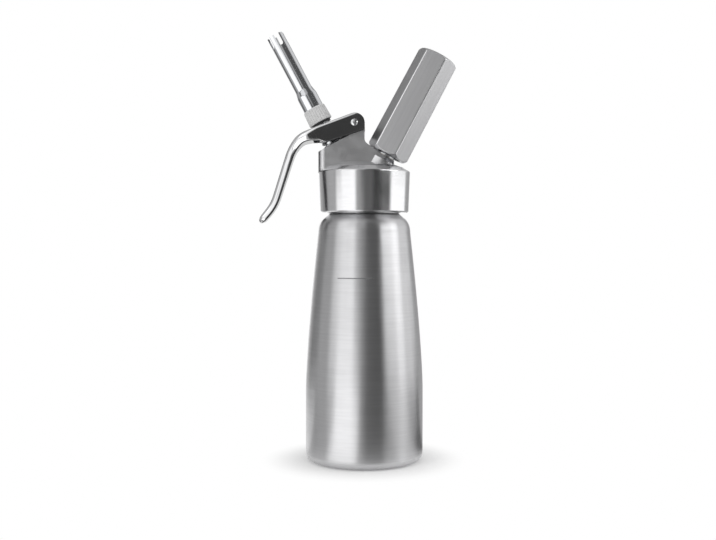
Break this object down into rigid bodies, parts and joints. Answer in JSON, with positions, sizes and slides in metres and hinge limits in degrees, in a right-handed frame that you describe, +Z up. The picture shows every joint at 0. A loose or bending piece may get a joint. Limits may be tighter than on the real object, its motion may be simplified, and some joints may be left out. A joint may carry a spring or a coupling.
{
  "type": "whipped cream dispenser",
  "caption": "Upright steel bottle with a screw-on head: a squeeze lever works a leaning nozzle valve, and a leaning hexagonal holder takes a gas charger.",
  "frame": {"origin": "centre of the bottle's base, on the surface that it stands on", "axes": "+Z up the bottle's axis; the nozzle and lever are on the -X side and the charger holder on the +X side"},
  "size_m": [0.1304, 0.078, 0.2841],
  "materials": {
    "bottle_steel": "brushed stainless steel, fine grain round the bottle",
    "head_aluminium": "satin aluminium, polished skirt",
    "lever_chrome": "mirror polish",
    "pin_steel": "polished steel",
    "stem_steel": "turned stainless steel",
    "nozzle_steel": "polished steel tube",
    "holder_aluminium": "satin aluminium with visible brushing along its length",
    "fitting_steel": "plated",
    "charger_steel": "drawn steel bulb",
    "spring_steel": "drawn wire",
    "white_plastic": "ribbed white plastic",
    "guide_plastic": "plain white plastic",
    "black_rubber": "black rubber",
    "gasket_rubber": "pale silicone",
    "filter_brass": "sintered brass",
    "washer_brass": "soft brass"
  },
  "bodies": {
    "bottle": {"bottle": "bottle_steel"},
    "gasket": {"head_gasket": "gasket_rubber"},
    "head": {"head": "head_aluminium", "valve_guide": "guide_plastic", "valve_spring": "spring_steel", "lever_pin": "pin_steel", "fitting_washer": "washer_brass", "inlet_fitting": "fitting_steel", "inlet_filter": "filter_brass", "piercing_pin": "fitting_steel", "charger_seal": "black_rubber", "check_sleeve": "black_rubber"},
    "lever": {"lever": "lever_chrome"},
    "valve": {"valve_stem": "stem_steel", "stem_o_rings": "black_rubber", "valve_seal": "black_rubber", "valve_nut": "stem_steel"},
    "washer": {"nozzle_washer": "black_rubber"},
    "nozzle": {"nozzle_collar": "white_plastic", "nozzle_tube": "nozzle_steel"},
    "charger": {"gas_charger": "charger_steel"},
    "holder": {"charger_holder": "holder_aluminium"}
  },
  "joints": [
    {"name": "head_rise", "type": "slide", "parent": "bottle", "child": "gasket", "axis": [0, 0, 1], "range_m": [0, 0.0101]},
    {"name": "head_unscrew", "type": "hinge", "parent": "gasket", "child": "head", "pos_m": [0, 0, 0.186], "axis": [0, 0, 1], "range_deg": [0, 900]},
    {"name": "lever_squeeze", "type": "hinge", "parent": "head", "child": "lever", "pos_m": [-0.00651, 0, 0.22344], "axis": [0, -1, 0], "range_deg": [0, 12], "stiffness_Nm_per_rad": 0.76, "springref_deg": -28.65},
    {"name": "valve_stroke", "type": "slide", "parent": "head", "child": "valve", "axis": [0.4695, 0, -0.8829], "range_m": [0, 0.0042], "deforming": ["valve_spring"]},
    {"name": "nozzle_rise", "type": "slide", "parent": "valve", "child": "washer", "axis": [-0.4695, 0, 0.8829], "range_m": [0, 0.0061]},
    {"name": "nozzle_unscrew", "type": "hinge", "parent": "washer", "child": "nozzle", "pos_m": [-0.02873, 0, 0.22454], "axis": [-0.4695, 0, 0.8829], "range_deg": [0, 1440]},
    {"name": "charger_rise", "type": "slide", "parent": "head", "child": "charger", "axis": [0.4695, 0, 0.8829], "range_m": [0, 0.0076]},
    {"name": "holder_unscrew", "type": "hinge", "parent": "charger", "child": "holder", "pos_m": [0.01549, 0, 0.20444], "axis": [0.4695, 0, 0.8829], "range_deg": [0, 1080]}
  ],
  "couplings": [
    {"joint": "head_rise", "follows": "head_unscrew", "m_per_rad": 0.00063662},
    {"joint": "valve_stroke", "follows": "lever_squeeze", "m_per_rad": 0.0198},
    {"joint": "nozzle_rise", "follows": "nozzle_unscrew", "m_per_rad": 0.00023873},
    {"joint": "charger_rise", "follows": "holder_unscrew", "m_per_rad": 0.00039789}
  ]
}
